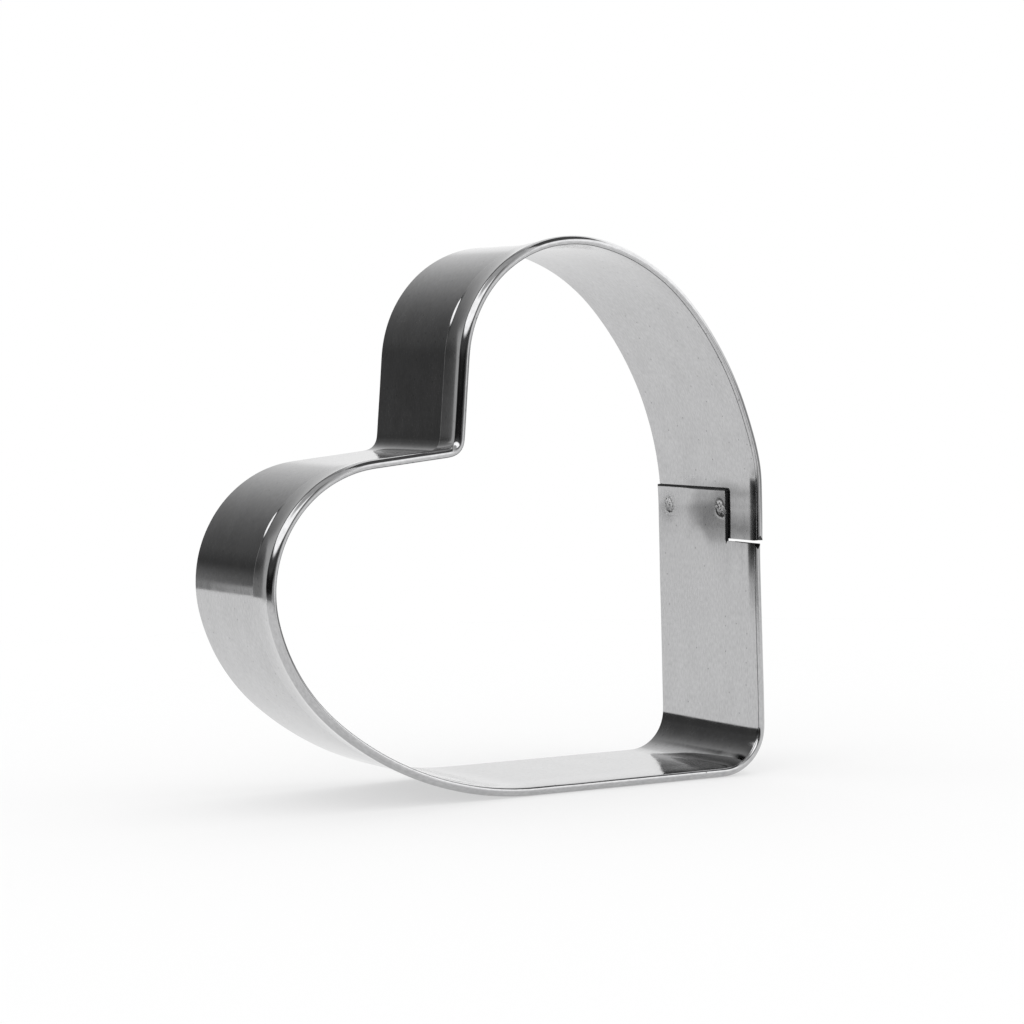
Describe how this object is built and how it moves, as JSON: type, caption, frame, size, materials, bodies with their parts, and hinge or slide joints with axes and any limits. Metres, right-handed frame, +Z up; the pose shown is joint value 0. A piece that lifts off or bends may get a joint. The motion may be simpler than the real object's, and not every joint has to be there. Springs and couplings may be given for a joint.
{
  "type": "cookie cutter",
  "caption": "Heart-shaped cookie cutter of thin stainless strip, with a rolled safety rim, a plain cutting edge and a spot-welded lap; pressed into rolled dough.",
  "frame": {"origin": "Middle of the footprint at the lowest point, with the cutter standing on one flank of the heart as pictured.", "axes": "+Z is up. +Y is the pressing direction: the rolled rim is at the front, at -Y, and the cutting edge at the back, at +Y. +X is to the right seen from the rim: the lower flank lies along X, the lapped and spot-welded flank stands along Z at +X, and the heart's tip is the rounded corner at +X, low down."},
  "size_m": [0.0628, 0.022, 0.0625],
  "materials": {
    "stainless_strip": "bright rolled stainless",
    "weld_metal": "electrode-marked stainless"
  },
  "bodies": {
    "root": {"heart_band": "stainless_strip", "spot_weld_near_edge": "weld_metal", "spot_weld_near_rim": "weld_metal"}
  },
  "joints": []
}
